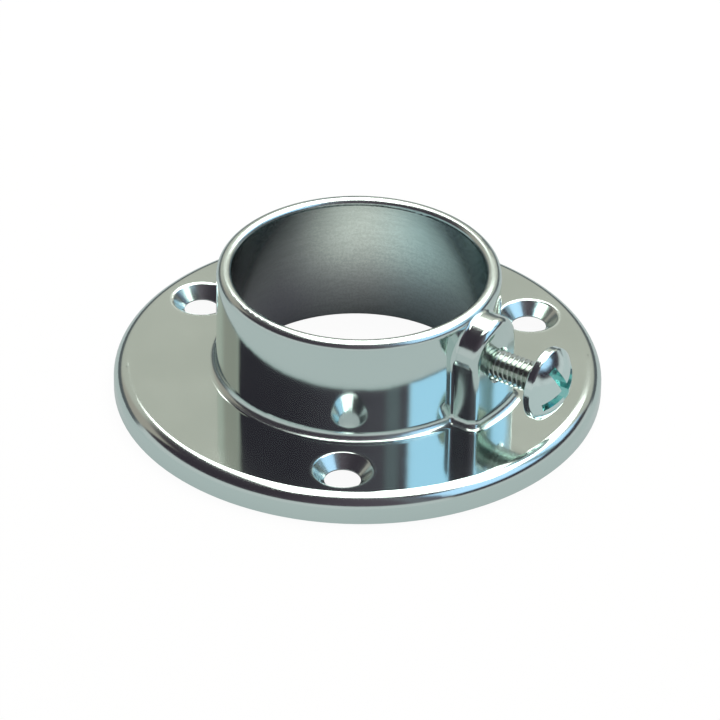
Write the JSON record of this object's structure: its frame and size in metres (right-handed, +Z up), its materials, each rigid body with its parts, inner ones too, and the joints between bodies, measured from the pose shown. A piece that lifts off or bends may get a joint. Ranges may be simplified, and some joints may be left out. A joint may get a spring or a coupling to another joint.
{
  "type": "tube clamp base flange",
  "caption": "Round base flange with an upright collar that takes a tube and a side boss whose clamp screw grips it.",
  "frame": {"origin": "on the bore's axis at the underside, which is the bottom centre of the bounding box", "axes": "+Z up along the bore, out of the collar; +X along the clamp screw, away from the bore, so the wall screw holes lie at 60, 180 and 300 degrees"},
  "size_m": [0.063, 0.063, 0.0177],
  "materials": {
    "casting": "polished outside, satin in the bore",
    "screw": "bright plated"
  },
  "bodies": {
    "flange": {"flange_body": "casting"},
    "screw": {"clamp_screw": "screw"}
  },
  "joints": [
    {"name": "clamp_screw_travel", "type": "slide", "parent": "flange", "child": "screw", "axis": [1, 0, 0], "range_m": [-0.0062, 0.002]}
  ]
}
